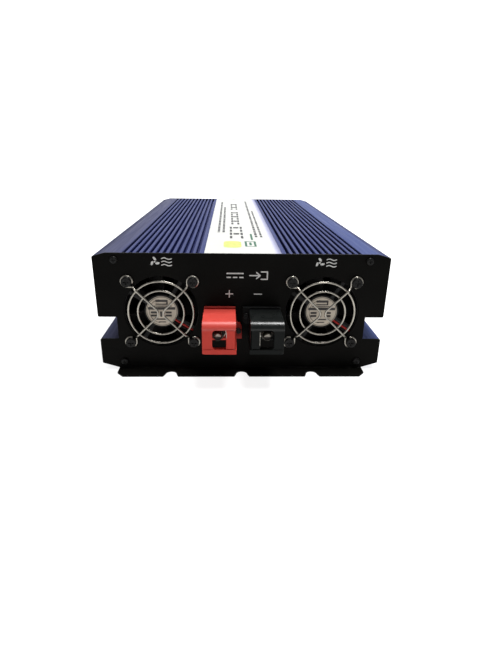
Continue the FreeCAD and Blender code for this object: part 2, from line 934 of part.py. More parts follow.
def terminal_cover():
    left = terminal_x - cover_width / 2
    right = terminal_x + cover_width / 2
    face = cover_face
    side_view = [
        (base_front, cover_bottom, 0),
        (face, cover_bottom, cover_rim_step),
        (face, cover_top, cover_edge_radius),
        (base_front, cover_top, 0),
    ]
    shell = prism_x(side_view, left, right)
    rim_back = base_front - base_boss - cover_wall
    rim = [
        (left - cover_rim_step, rim_back, 0),
        (left - cover_rim_step, front_y - cover_reach, cover_rim_radii[0]),
        (right, front_y - cover_reach, cover_rim_radii[1]),
        (right, rim_back, 0),
    ]
    shell = shell.fuse(prism_z(rim, cover_bottom, window_bottom - cover_rim_drop))
    inner_view = [
        (base_front + past, cover_bottom + cover_wall, 0),
        (face + cover_wall, cover_bottom + cover_wall, 0),
        (face + cover_wall, cover_top - cover_wall, cover_edge_radius - cover_wall),
        (base_front + past, cover_top - cover_wall, 0),
    ]
    cavity = prism_x(inner_view, left + cover_wall, right - cover_wall)
    window = [
        (window_inner, window_bottom, 0),
        (window_outer, window_bottom, window_radius),
        (window_outer, window_top, window_radius),
        (window_inner, window_top, 0),
    ]
    opening = prism_y(window, face - past, face + cover_wall + past)
    exit_front = face + cover_wall + cable_exit_inset
    exit_hole = box(terminal_x - cable_exit_width / 2, terminal_x + cable_exit_width / 2, exit_front,
                    exit_front + cable_exit_depth, cover_bottom - past, cover_bottom + cover_wall + past)
    pin_y = face + flap_barrel + running_gap
    pin_hole = rod_z(flap_pin_x, pin_y, flap_pin_radius, window_bottom - pin_grip, window_top + pin_grip)
    return shell.cut([cavity, opening, exit_hole, pin_hole]).removeSplitter(), pin_y


def cover_flap(pin_y):
    low, high = window_bottom + flap_gap, window_top - flap_gap
    face = pin_y - flap_barrel
    plate = [
        (flap_pin_x, face, 0),
        (flap_edge, face, flap_edge_radius),
        (flap_edge, face + flap_thickness, flap_edge_radius),
        (flap_pin_x, face + flap_thickness, 0),
    ]
    flap = fuse([prism_z(plate, low, high), rod_z(flap_pin_x, pin_y, flap_barrel, low, high)])
    return flap.cut(rod_z(flap_pin_x, pin_y, flap_pin_radius + flap_pin_clearance, low - past, high + past))


def stud_assembly():
    """Stud with its hidden head, the washer on the base and the nut that clamps a cable lug."""
    seat = base_front - base_boss
    nut_front = seat - washer_thickness - running_gap - stud_nut_height
    tip = front_y - stud_reach
    head_y = bar_front + bar_thickness
    shank = relieved_rod(stud_x, stud_z, stud_radius, stud_relief_radius, tip, head_y, nut_front, stud_chamfer)
    centre = (stud_x, stud_z)
    stud = fuse([shank, hexagon(stud_nut_flats, stud_head_height, 0, centre, head_y)])
    washer = rod_y(stud_x, stud_z, washer_radius, seat - washer_thickness, seat)
    washer = washer.cut(rod_y(stud_x, stud_z, stud_radius + washer_slack, tip, seat + past))
    nut = hexagon(stud_nut_flats, stud_nut_height, stud_radius + running_gap, centre, nut_front)
    return stud, washer, nut


def relieved_rod(x, z, radius, neck, tip, back, nut_front, chamfer):
    """Stud along Y with a chamfered tip and a thread relief just outside its nut."""
    rod = rod_y(x, z, radius, tip, back)
    end = [edge for edge in rod.Edges if abs(edge.BoundBox.YMax - tip) < tiny]
    relief_back = nut_front - stud_relief_gap
    relief = rod_y(x, z, radius + past, relief_back - stud_relief, relief_back)
    relief = relief.cut(rod_y(x, z, neck, tip, back))
    return rod.makeChamfer(chamfer, end).cut(relief)


def bus_bar():
    """Copper strap from the stud down to a foot on the board."""
    front = bar_front
    low = board_top
    side_view = [
        (front, low, bar_bend + bar_thickness),
        (front_y + bar_foot_end, low, 0),
        (front_y + bar_foot_end, low + bar_thickness, 0),
        (front + bar_thickness, low + bar_thickness, bar_bend),
        (front + bar_thickness, bar_height, 0),
        (front, bar_height, 0),
    ]
    bar = prism_x(side_view, stud_x - bar_width / 2, stud_x + bar_width / 2)
    back = front + bar_thickness
    return bar.cut(rod_y(stud_x, stud_z, stud_radius + running_gap, front - past, back + past))


def make_terminals():
    washers, screws = [], []
    cover, pin_y = terminal_cover()
    flap = cover_flap(pin_y)
    pin = rod_z(flap_pin_x, pin_y, flap_pin_radius, window_bottom - pin_grip, window_top + pin_grip)
    stud, washer, nut = stud_assembly()
    for pole, sign in (("positive", -1), ("negative", 1)):
        parts["%s_terminal_base" % pole] = terminal_base(sign)
        parts["%s_terminal_cover" % pole] = mirrored(cover, sign)
        parts["%s_cover_flap" % pole] = mirrored(flap, sign)
        parts["%s_flap_pin" % pole] = mirrored(pin, sign)
        parts["%s_stud" % pole] = mirrored(stud, sign)
        parts["%s_stud_nut" % pole] = mirrored(nut, sign)
        parts["%s_bus_bar" % pole] = mirrored(bus_bar(), sign)
        washers.append(mirrored(washer, sign))
        x, z = ear_screw_place(sign)
        screws.append(small_screw(x, z, base_front, ear_screw_length))
    parts["stud_washers"] = group(washers)
    parts["terminal_screws"] = group(screws)


def standoff_places():
    x = board_half - standoff_inset
    rows = (board_start + standoff_end, (board_start + board_end) / 2, board_end - standoff_end)
    return [(side * x, y) for side in (-1, 1) for y in rows]


def make_board():
    board = box(-board_half, board_half, board_start, board_end, board_bottom, board_top)
    posts, screws = [], []
    for x, y in standoff_places():
        board = board.cut(rod_z(x, y, screw_hole_radius, board_bottom - past, board_top + past))
        post = rod_z(x, y, standoff_radius, floor_top, board_bottom)
        tapped = rod_z(x, y, pilot_radius, board_bottom - board_screw_grip - past, board_bottom + past)
        posts.append(post.cut(tapped))
        head = rod_z(x, y, screw_head_radius, board_top, board_top + screw_head_height)
        shank = rod_z(x, y, screw_shank_radius, board_bottom - board_screw_grip, board_top)
        screws.append(fuse([head, shank]))
    parts["main_board"] = board
    parts["board_standoffs"] = group(posts)
    parts["board_screws"] = group(screws)


def capacitor(x, y, radius, height):
    can = rod_z(x, y, radius, board_top, board_top + height)
    edge = [e for e in can.Edges if e.BoundBox.ZMin > board_top + height - tiny]
    can = can.makeFillet(capacitor_edge, edge)
    bead_centre = V(x, y, board_top + capacitor_bead_rise)
    groove = Part.makeTorus(radius + capacitor_bead / 2, capacitor_bead, bead_centre, Z_AXIS)
    return can.cut(groove)


def block_on(x, y, size, bottom):
    """Box of the given size standing on a level, centred on x and y."""
    wide, deep, tall = size
    return box(x - wide / 2, x + wide / 2, y - deep / 2, y + deep / 2, bottom, bottom + tall)


def make_input_side():
    cans = []
    for row in capacitor_rows:
        for column in capacitor_columns:
            for side in (-1, 1):
                cans.append(capacitor(side * column, board_start + row, capacitor_radius, capacitor_height))
    parts["input_capacitors"] = group(cans)
    fuses = []
    y = board_start + fuse_row + fuse_base[1] / 2
    for i in range(fuse_count):
        x = fuse_pitch * (i - (fuse_count - 1) / 2)
        base = block_on(x, y, fuse_base, board_top)
        fuses.append(fuse([base, block_on(x, y, fuse_cap, board_top + fuse_base[2])]))
    parts["input_fuses"] = group(fuses)


def transformer(x, y):
    depth, height = core_size[1:]
    window_width, window_height = core_window
    core = block_on(x, y, core_size, board_top)
    low = board_top + (height - window_height) / 2
    leg = core_leg / 2
    for side in (-1, 1):
        near, far = sorted((x + side * leg, x + side * (leg + window_width)))
        core = core.cut(box(near, far, y - depth, y + depth, low, low + window_height))
    wide, deep, tall = winding_size
    mid = board_top + height / 2
    outline = [(x + i * wide / 2, y + k * deep / 2, winding_corner) for i, k in square_corners]
    winding = prism_z(outline, mid - tall / 2, mid + tall / 2)
    hole = block_on(x, y, (core_leg + 2 * winding_slack, depth + 2 * winding_slack, height), board_top)
    return core, winding.cut(hole)


def make_transformers():
    first, last = board_start + transformer_start, rear_y - transformer_end
    cores, windings = [], []
    for row in range(2):
        y = first + (last - first) * (row + 0.5) / 2
        for side in (-1, 1):
            core, winding = transformer(side * transformer_x, y)
            cores.append(core)
            windings.append(winding)
    parts["transformer_cores"] = group(cores)
    parts["transformer_windings"] = group(windings)


def make_transistors():
    """Transistors clamped against the waist walls, with their legs in the board."""
    thick, wide, tall = transistor_size
    first, last = board_start + transistor_start, rear_y - transistor_end
    devices, clamps = [], []
    for side in (-1, 1):
        for i in range(transistors_each_side):
            y = first + (last - first) * i / (transistors_each_side - 1)
            near, far = sorted((side * waist_inner, side * (waist_inner - thick)))
            body = box(near, far, y - wide / 2, y + wide / 2, transistor_bottom, transistor_bottom + tall)
            leg_x = side * (waist_inner - thick / 2 - leg_offset)
            legs = []
            for k in (-1, 0, 1):
                size = (leg_thickness, leg_width, transistor_bottom + leg_thickness - board_top)
                legs.append(block_on(leg_x, y + leg_pitch * k, size, board_top))
            devices.append(fuse([body] + legs))
        near, far = sorted((side * (waist_inner - thick), side * (waist_inner - thick - clamp_thickness)))
        middle = transistor_bottom + tall / 2
        clamps.append(box(near, far, first - clamp_overhang, last + clamp_overhang,
                          middle - clamp_height / 2, middle + clamp_height / 2))
    parts["power_transistors"] = group(devices)
    parts["transistor_clamps"] = group(clamps)


def make_output_side():
    row = rear_y - reservoir_end
    cans = [capacitor(x, row, reservoir_radius, reservoir_height) for x in reservoir_columns]
    parts["bus_capacitors"] = group(cans)
    toroid_y = rear_y - toroid_end
    core = rod_z(toroid_x, toroid_y, toroid_outer, board_top, board_top + toroid_height)
    core = core.makeFillet(toroid_edge, [e for e in core.Edges if e.Curve.TypeId == "Part::GeomCircle"])
    parts["output_inductor"] = core.cut(rod_z(toroid_x, toroid_y, toroid_inner, 0, body_height))
    films = [block_on(film_x, rear_y - end, film_size, board_top) for end in film_ends]
    parts["filter_capacitors"] = group(films)
    far_end, near_end = card_ends
    card_face = card_x + card_thickness
    card = box(card_x, card_face, rear_y - far_end, rear_y - near_end, board_top, board_top + card_height)
    thick, wide, tall = chip_size
    chips = []
    for end, rise in chip_places:
        y, low = rear_y - end, board_top + rise
        chips.append(box(card_face, card_face + thick, y, y + wide, low, low + tall))
    parts["control_board"] = fuse([card] + chips)


def ac_outlet(x):
    half = outlet_flange / 2
    square = [(x + i * half, outlet_z + k * half, outlet_corner) for i, k in square_corners]
    front = front_y - outlet_flange_thickness
    flange = prism_y(square, front, front_y)
    rim = [edge for edge in flange.Edges if edge.BoundBox.YMax < front + tiny]
    flange = flange.makeChamfer(outlet_edge, rim)
    body = fuse([flange, rod_y(x, outlet_z, outlet_body_radius, front_y, front_y + outlet_body_depth)])
    recess_floor = front + recess_length
    back = front_y + outlet_body_depth + past
    cutters = [rod_y(x, outlet_z, recess_radius, front - past, recess_floor)]
    for i in (-1, 1):
        hole_x = x + i * pin_spacing / 2
        offset = i * outlet_screw_offset
        cutters.append(rod_y(hole_x, outlet_z, pin_hole_radius, front, recess_floor + pin_hole_depth))
        room = rod_y(hole_x, outlet_z, pin_hole_radius + contact_wall, recess_floor + contact_inset, back)
        cutters.append(room)
        cutters.append(rod_y(x + offset, outlet_z + offset, screw_hole_radius, front - past, front_y + past))
    return at_rear(body.cut(cutters))


def outlet_contacts(x):
    contacts = []
    floor = front_y - outlet_flange_thickness + recess_length
    start = floor + contact_inset
    tail = front_y + outlet_body_depth + contact_tail
    for i in (-1, 1):
        hole_x = x + i * pin_spacing / 2
        sleeve = rod_y(hole_x, outlet_z, pin_hole_radius + contact_wall, start, tail)
        bore = rod_y(hole_x, outlet_z, pin_hole_radius, start - past, floor + pin_hole_depth)
        contacts.append(at_rear(sleeve.cut(bore)))
    return contacts


def make_outlets():
    contacts, screws, leads = [], [], []
    for side, x in zip(("left", "right"), outlet_offsets):
        parts["ac_outlet_%s" % side] = ac_outlet(x)
        contacts += outlet_contacts(x)
        for i in (-1, 1):
            offset = i * outlet_screw_offset
            seat = front_y - outlet_flange_thickness
            screw = small_screw(x + offset, outlet_z + offset, seat, outlet_screw_length)
            screws.append(at_rear(screw))
            leads.append(outlet_lead(x + i * pin_spacing / 2))
    parts["outlet_contacts"] = group(contacts)
    parts["outlet_screws"] = group(screws)
    parts["outlet_leads"] = group(leads)


def outlet_lead(x):
    """Insulated lead from a contact's tail down to the board's back edge."""
    tail = rear_y - outlet_body_depth - contact_tail
    level, drop = outlet_lead_run
    points = [
        V(x, tail, outlet_z),
        V(x, tail - level, outlet_z),
        V(x, tail - drop, outlet_z - outlet_lead_drop),
        V(x, tail - drop, board_top),
    ]
    return wire_along(points, outlet_lead_bends, outlet_lead_radius)


def make_switch():
    bezel_w, bezel_h = switch_bezel
    cut_w, cut_h = switch_cut
    front = front_y - bezel_thickness
    outline = []
    for i, k in square_corners:
        outline.append((switch_x + i * bezel_w / 2, switch_z + k * bezel_h / 2, switch_corner))
    body = prism_y(outline, front, front_y)
    half_w, half_h = (cut_w + wall) / 2, (cut_h + wall) / 2
    body = body.fuse(box(switch_x - half_w, switch_x + half_w, front_y, front_y + switch_depth,
                         switch_z - half_h, switch_z + half_h))
    pivot_y = front_y + rocker_pivot_depth
    room = rocker_radius + rocker_gap
    half = rocker_width / 2
    pocket = box(switch_x - half - rocker_gap, switch_x + half + rocker_gap, front - past,
                 front_y + switch_depth - wall, switch_z - room, switch_z + room)
    socket_half = half + trunnion_reach + 4 * running_gap
    socket_radius = trunnion_radius + running_gap
    socket = rod_x(switch_x - socket_half, switch_x + socket_half, pivot_y, switch_z, socket_radius)
    parts["power_switch_body"] = at_rear(body.cut([pocket, socket]).removeSplitter())
    barrel = rod_x(switch_x - half, switch_x + half, pivot_y, switch_z, rocker_radius)
    crown = [
        (front - rocker_horn, switch_z - rocker_radius - past, 0),
        (front + rocker_valley, switch_z, 0),
        (front - rocker_horn, switch_z + rocker_radius + past, 0),
        (front - 2 * rocker_radius, switch_z, 0),
    ]
    barrel = barrel.cut(prism_x(crown, switch_x - half - past, switch_x + half + past))
    barrel = barrel.cut(box(switch_x - half - past, switch_x + half + past, front_y + rocker_depth,
                            front_y + switch_depth, 0, body_height))
    pin_half = half + trunnion_reach
    pins = rod_x(switch_x - pin_half, switch_x + pin_half, pivot_y, switch_z, trunnion_radius)
    rocker = fuse([barrel, pins])
    rocker.rotate(V(switch_x, pivot_y, switch_z), X_AXIS, rocker_tilt)
    parts["power_switch_rocker"] = at_rear(rocker)


def make_lights_and_ground():
    lights = []
    for i in (-1, 1):
        x = switch_x + i * light_spacing / 2
        lens = rod_y(x, light_z, light_radius, front_y - light_reach, front_y + light_depth)
        rim = [edge for edge in lens.Edges if edge.BoundBox.YMax < front_y - light_reach + tiny]
        lens = lens.makeFillet(light_edge, rim)
        collar = rod_y(x, light_z, light_radius + light_collar, shell_front, shell_front + light_collar_depth)
        lights.append(at_rear(lens.fuse(collar)))
    parts["status_lights"] = group(lights)
    centre = (ground_x, ground_z)
    tip = front_y - ground_reach
    nut_front = front_y - running_gap - ground_nut_height
    stud = relieved_rod(ground_x, ground_z, ground_radius, ground_relief_radius, tip, shell_front,
                        nut_front, ground_chamfer)
    stud = stud.fuse(hexagon(ground_nut_flats, ground_head_height, 0, centre, shell_front))
    parts["ground_stud"] = at_rear(stud)
    nut = hexagon(ground_nut_flats, ground_nut_height, ground_radius + running_gap, centre, nut_front)
    parts["ground_nut"] = at_rear(nut)


def build():
    make_bottom_shell()
    make_top_shell()
    make_top_label()
    make_front_panel()
    make_rear_panel()
    make_panel_screws()
    make_fans()
    make_terminals()
    make_board()
    make_input_side()
    make_transformers()
    make_transistors()
    make_output_side()
    make_outlets()
    make_switch()
    make_lights_and_ground()
    os.makedirs("parts", exist_ok=True)
    for name, shape in parts.items():
        if not shape.isValid():
            print("not valid:", name)
        shape.exportStep("parts/%s.step" % name)
    print(len(parts), "parts")


build()
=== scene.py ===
"""Looks, light and camera for the power inverter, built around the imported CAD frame.

Metres. +X right, +Y from the battery end to the mains end, +Z up.
"""
import bmesh
import bpy
import json
import math
from mathutils import Matrix, Vector
from mathutils.bvhtree import BVHTree

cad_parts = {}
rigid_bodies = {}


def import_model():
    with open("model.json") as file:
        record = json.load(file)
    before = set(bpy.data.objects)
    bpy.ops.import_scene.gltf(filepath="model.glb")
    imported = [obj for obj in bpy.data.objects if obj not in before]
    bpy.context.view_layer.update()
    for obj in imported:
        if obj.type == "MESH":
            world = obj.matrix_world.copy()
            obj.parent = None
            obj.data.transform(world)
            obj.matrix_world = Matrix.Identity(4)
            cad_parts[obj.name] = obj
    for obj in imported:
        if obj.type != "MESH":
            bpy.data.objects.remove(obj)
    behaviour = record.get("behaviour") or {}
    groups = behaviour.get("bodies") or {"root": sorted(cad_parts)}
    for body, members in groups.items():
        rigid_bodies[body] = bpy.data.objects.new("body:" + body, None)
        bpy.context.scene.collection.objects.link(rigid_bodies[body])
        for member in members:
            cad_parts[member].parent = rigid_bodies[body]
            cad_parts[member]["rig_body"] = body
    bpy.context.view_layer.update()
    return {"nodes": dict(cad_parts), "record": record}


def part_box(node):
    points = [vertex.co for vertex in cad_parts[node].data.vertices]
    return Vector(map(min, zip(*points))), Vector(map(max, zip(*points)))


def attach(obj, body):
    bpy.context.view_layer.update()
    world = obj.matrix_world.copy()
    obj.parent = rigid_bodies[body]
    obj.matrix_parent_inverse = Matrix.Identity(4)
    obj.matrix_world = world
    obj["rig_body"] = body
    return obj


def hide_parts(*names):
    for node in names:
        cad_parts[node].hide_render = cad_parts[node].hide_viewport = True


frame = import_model()

MM = 0.001
SHEET = 0.0015
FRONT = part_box("front_panel")[1].y - SHEET
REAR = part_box("rear_panel")[0].y + SHEET
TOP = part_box("top_shell")[1].z
ROOF_FLAT = 90 * MM
SIDES = ("left", "right")
POLES = ("positive", "negative")


# ---------------------------------------------------------------- materials

class Surface:
    """One procedural material: a Principled shader fed by noise in the part's own coordinates."""

    def __init__(self, name, colour, rough, metal=0.0, specular=0.5):
        self.material = bpy.data.materials.new(name)
        self.material.use_nodes = True
        self.tree = self.material.node_tree
        self.shader = self.tree.nodes["Principled BSDF"]
        self.shader.inputs["Base Color"].default_value = (*colour, 1)
        self.shader.inputs["Roughness"].default_value = rough
        self.shader.inputs["Metallic"].default_value = metal
        self.shader.inputs["Specular IOR Level"].default_value = specular
        self.colour = colour
        self.rough = rough
        self.place = self.add("ShaderNodeTexCoord")

    def add(self, kind, **settings):
        node = self.tree.nodes.new(kind)
        for key, value in settings.items():
            setattr(node, key, value)
        return node

    def join(self, source, target):
        self.tree.links.new(source, target)

    def noise(self, scale, stretch=(1, 1, 1), detail=3.0, roughness=0.55):
        mapping = self.add("ShaderNodeMapping")
        mapping.inputs["Scale"].default_value = stretch
        self.join(self.place.outputs["Object"], mapping.inputs["Vector"])
        texture = self.add("ShaderNodeTexNoise")
        texture.inputs["Scale"].default_value = scale
        texture.inputs["Detail"].default_value = detail
        texture.inputs["Roughness"].default_value = roughness
        self.join(mapping.outputs["Vector"], texture.inputs["Vector"])
        return texture.outputs["Fac"]

    def ramp(self, value, stops):
        ramp = self.add("ShaderNodeValToRGB")
        elements = ramp.color_ramp.elements
        while len(elements) < len(stops):
            elements.new(0.5)
        for element, (position, colour) in zip(elements, stops):
            element.position = position
            element.color = (*colour, 1)
        self.join(value, ramp.inputs["Fac"])
        return ramp.outputs["Color"]

    def spread(self, value, low, high, start=0.3, end=0.7):
        scale = self.add("ShaderNodeMapRange")
        for key, number in (("From Min", start), ("From Max", end), ("To Min", low), ("To Max", high)):
            scale.inputs[key].default_value = number
        self.join(value, scale.inputs["Value"])
        return scale.outputs["Result"]

    def tint(self, scale, amount, stretch=(1, 1, 1)):
        """Uneven colour."""
        low = tuple(c * (1 - amount) for c in self.colour)
        high = tuple(min(1, c * (1 + amount)) for c in self.colour)
        colour = self.ramp(self.noise(scale, stretch), [(0.3, low), (0.7, high)])
        self.join(colour, self.shader.inputs["Base Color"])
        return self

    def wear(self, scale, amount, stretch=(1, 1, 1)):
        """Uneven gloss."""
        value = self.spread(self.noise(scale, stretch, 4.0), max(0, self.rough - amount), self.rough + amount)
        self.join(value, self.shader.inputs["Roughness"])
        return self

    def grain(self, scale, strength, depth=0.02, stretch=(1, 1, 1), detail=2.0):
        """Fine relief, depth in mm."""
        bump = self.add("ShaderNodeBump")
        bump.inputs["Strength"].default_value = strength
        bump.inputs["Distance"].default_value = depth * MM
        self.join(self.noise(scale, stretch, detail), bump.inputs["Height"])
        if self.shader.inputs["Normal"].links:
            self.join(self.shader.inputs["Normal"].links[0].from_socket, bump.inputs["Normal"])
        self.join(bump.outputs["Normal"], self.shader.inputs["Normal"])
        return self

    def polished_above(self, level, specular):
        """Glossier above a height in mm."""
        split = self.add("ShaderNodeSeparateXYZ")
        self.join(self.place.outputs["Object"], split.inputs["Vector"])
        dull = self.shader.inputs["Specular IOR Level"].default_value
        gloss = self.spread(split.outputs["Z"], dull, specular, level * MM, (level + 1.5) * MM)
        self.join(gloss, self.shader.inputs["Specular IOR Level"])
        return self

    def glow(self, strength):
        self.shader.inputs["Emission Color"].default_value = (1, 1, 1, 1)
        self.shader.inputs["Emission Strength"].default_value = strength
        return self

    def coat(self, weight, rough):
        self.shader.inputs["Coat Weight"].default_value = weight
        self.shader.inputs["Coat Roughness"].default_value = rough
        return self


def anodised():
    """Blue anodised extrusion.

    Die lines run along Y. The grooves take a painted shade, a deep dark blue. Outside the ribs a painted
    reflection greys the blue to the left and painted light lifts it to the right, on the flats, the walls and
    the ledges.
    """
    surface = Surface("anodised_blue", (0.04, 0.05, 0.13), 0.48, metal=0.35, specular=0.05)
    surface.shader.inputs["Specular Tint"].default_value = (0.3, 0.34, 0.5, 1)
    streaks = surface.noise(260, (1, 0.02, 1), 4.0)
    face = surface.ramp(streaks, [(0.25, (0.052, 0.064, 0.170)), (0.75, (0.080, 0.096, 0.236))])
    split = surface.add("ShaderNodeSeparateXYZ")
    surface.join(surface.place.outputs["Object"], split.inputs["Vector"])
    high = surface.spread(split.outputs["Z"], 0, 1, TOP - 1.7 * MM, TOP - 0.5 * MM)
    low = surface.spread(split.outputs["Z"], 1, 0, TOP - 4.2 * MM, TOP - 3.7 * MM)
    groove = surface.add("ShaderNodeMath", operation="MAXIMUM")
    surface.join(high, groove.inputs[0])
    surface.join(low, groove.inputs[1])
    # painted shade: deep dark blue in the grooves between the ribs, where the height mask is low
    mix = surface.add("ShaderNodeMix", data_type="RGBA")
    mix.inputs["A"].default_value = (0.006, 0.012, 0.090, 1)
    surface.join(groove.outputs[0], mix.inputs["Factor"])
    surface.join(face, mix.inputs["B"])
    # painted reflection greys the blue at the left, painted light lifts it at the right, on flats, walls and
    # ledges
    across = surface.spread(split.outputs["X"], 0, 1, -ROOF_FLAT - 5 * MM, ROOF_FLAT + 5 * MM)
    glare_grey, even, lit_side = (0.58, 0.50, 0.36), (0.5, 0.5, 0.5), (0.62, 0.68, 0.66)
    painted_light_tint = surface.ramp(across, [(0.0, glare_grey), (0.05, even), (0.95, even), (1.0, lit_side)])
    painted_light_mix = surface.add("ShaderNodeMix", data_type="RGBA", blend_type="MULTIPLY")
    painted_light_mix.inputs["Factor"].default_value = 1.0
    surface.join(mix.outputs["Result"], painted_light_mix.inputs["A"])
    surface.join(painted_light_tint, painted_light_mix.inputs["B"])
    surface.join(painted_light_mix.outputs["Result"], surface.shader.inputs["Base Color"])
    surface.wear(420, 0.09, (1, 0.03, 1))
    surface.grain(900, 0.25, 0.02, (1, 0.02, 1))
    return surface.material


def label_side_fade():
    """Lavender strip beside the label, fading from the white film into the blue."""
    surface = Surface("label_side_strip", (0.55, 0.55, 0.80), 0.45, specular=0.3)
    split = surface.add("ShaderNodeSeparateXYZ")
    surface.join(surface.place.outputs["Object"], split.inputs["Vector"])
    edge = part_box("top_label")[1].x
    across = surface.spread(split.outputs["X"], 0, 1, edge, edge + 5.2 * MM)
    fade = [(0.0, (0.35, 0.35, 0.40)), (0.5, (0.17, 0.175, 0.28)), (1.0, (0.045, 0.052, 0.125))]
    colour = surface.ramp(across, fade)
    surface.join(colour, surface.shader.inputs["Base Color"])
    return surface.wear(200, 0.06).grain(600, 0.1, 0.01).material


def copper_turns(name, colour, along, pitch):
    """Enamelled wire laid side by side."""
    surface = Surface(name, colour, 0.3, metal=0.7).tint(60, 0.2)
    wave = surface.add("ShaderNodeTexWave", bands_direction=along)
    wave.inputs["Scale"].default_value = 1 / (pitch * MM) / 3.2
    wave.inputs["Distortion"].default_value = 0.3
    surface.join(surface.place.outputs["Object"], wave.inputs["Vector"])
    bump = surface.add("ShaderNodeBump")
    bump.inputs["Strength"].default_value = 0.9
    bump.inputs["Distance"].default_value = 0.3 * MM
    surface.join(wave.outputs["Fac"], bump.inputs["Height"])
    surface.join(bump.outputs["Normal"], surface.shader.inputs["Normal"])
    return surface.material


def threaded(name, colour, ripple, tip=None):
    """Plated steel, rippled along Y with waves 2 pi times ripple mm apart.

    A stud that faces the battery gets a painted end from tip: painted shade on its lower half and a painted
    highlight on its upper half.
    """
    surface = Surface(name, colour, 0.32, metal=0.95).tint(80, 0.15)
    wave = surface.add("ShaderNodeTexWave", bands_direction="Y", wave_profile="TRI")
    wave.inputs["Scale"].default_value = 1 / (ripple * MM) / 20
    surface.join(surface.place.outputs["Object"], wave.inputs["Vector"])
    bump = surface.add("ShaderNodeBump")
    bump.inputs["Strength"].default_value = 1.0
    bump.inputs["Distance"].default_value = 0.5 * MM
    surface.join(wave.outputs["Fac"], bump.inputs["Height"])
    surface.join(bump.outputs["Normal"], surface.shader.inputs["Normal"])
    if tip is not None:
        split = surface.add("ShaderNodeSeparateXYZ")
        surface.join(surface.place.outputs["Object"], split.inputs["Vector"])
        inward = surface.spread(split.outputs["Y"], 0, 1, tip.y + 0.3 * MM, tip.y + 0.7 * MM)
        # painted highlight on the upper half of the stud's end, painted shade on the lower half
        painted_highlight_mask = surface.spread(split.outputs["Z"], 0, 1, tip.z + 0.4 * MM, tip.z + 0.6 * MM)
        end = surface.ramp(painted_highlight_mask, [(0.0, (0.03, 0.022, 0.018)), (1.0, (0.80, 0.72, 0.60))])
        mix = surface.add("ShaderNodeMix", data_type="RGBA")
        surface.join(inward, mix.inputs["Factor"])
        surface.join(end, mix.inputs["A"])
        surface.join(surface.shader.inputs["Base Color"].links[0].from_socket, mix.inputs["B"])
        surface.join(mix.outputs["Result"], surface.shader.inputs["Base Color"])
        surface.join(surface.spread(inward, 0.1, 0.95, 0, 1), surface.shader.inputs["Metallic"])
    return surface.material


def solder_mask():
    """Circuit board: green fields in a lighter grid."""
    surface = Surface("solder_mask", (0.02, 0.12, 0.05), 0.35)
    cells = surface.add("ShaderNodeTexBrick")
    cells.inputs["Scale"].default_value = 120
    cells.inputs["Color1"].default_value = (0.015, 0.10, 0.04, 1)
    cells.inputs["Color2"].default_value = (0.025, 0.15, 0.06, 1)
    cells.inputs["Mortar"].default_value = (0.05, 0.22, 0.09, 1)
    surface.join(surface.place.outputs["Object"], cells.inputs["Vector"])
    surface.join(cells.outputs["Color"], surface.shader.inputs["Base Color"])
    return surface.wear(200, 0.08).grain(600, 0.2, 0.03).material


